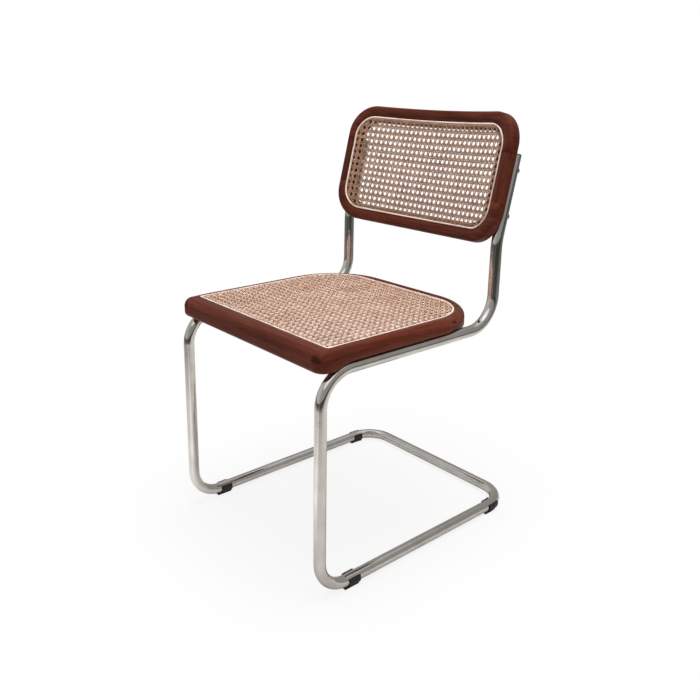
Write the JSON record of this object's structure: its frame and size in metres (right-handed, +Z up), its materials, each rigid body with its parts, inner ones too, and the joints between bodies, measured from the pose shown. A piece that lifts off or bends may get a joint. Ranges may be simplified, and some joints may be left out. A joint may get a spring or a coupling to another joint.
{
  "type": "cantilever dining chair",
  "caption": "Cantilever dining chair: a bent chromed steel tube carries a dark wood seat frame and a bowed back frame, both filled with woven cane.",
  "frame": {"origin": "middle of the chair's box at floor level", "axes": "+Z is up, the sitter faces -Y, and +X is the sitter's left"},
  "size_m": [0.467, 0.542, 0.8334],
  "materials": {
    "chrome_tube": "polished chrome plate on steel tube",
    "dark_wood": "stained dark red-brown, satin lacquer",
    "cane": "natural woven cane, matt",
    "spline_reed": "pale natural reed, matt",
    "glide_plastic": "black moulded plastic",
    "plug_plastic": "grey plastic end plug",
    "bolt_steel": "zinc plated steel",
    "insert_brass": "plain brass"
  },
  "bodies": {
    "root": {"tube_frame": "chrome_tube", "seat_front_rail": "dark_wood", "seat_rear_rail": "dark_wood", "seat_left_rail": "dark_wood", "seat_right_rail": "dark_wood", "seat_cane": "cane", "seat_spline": "spline_reed", "back_top_rail": "dark_wood", "back_bottom_rail": "dark_wood", "back_left_stile": "dark_wood", "back_right_stile": "dark_wood", "back_cane": "cane", "back_spline": "spline_reed", "glide_front_left": "glide_plastic", "glide_front_right": "glide_plastic", "glide_rear_left": "glide_plastic", "glide_rear_right": "glide_plastic", "tube_plug_left": "plug_plastic", "tube_plug_right": "plug_plastic", "seat_bolts": "bolt_steel", "back_bolts": "bolt_steel", "seat_insert_nuts": "insert_brass", "back_insert_nuts": "insert_brass"}
  },
  "joints": []
}
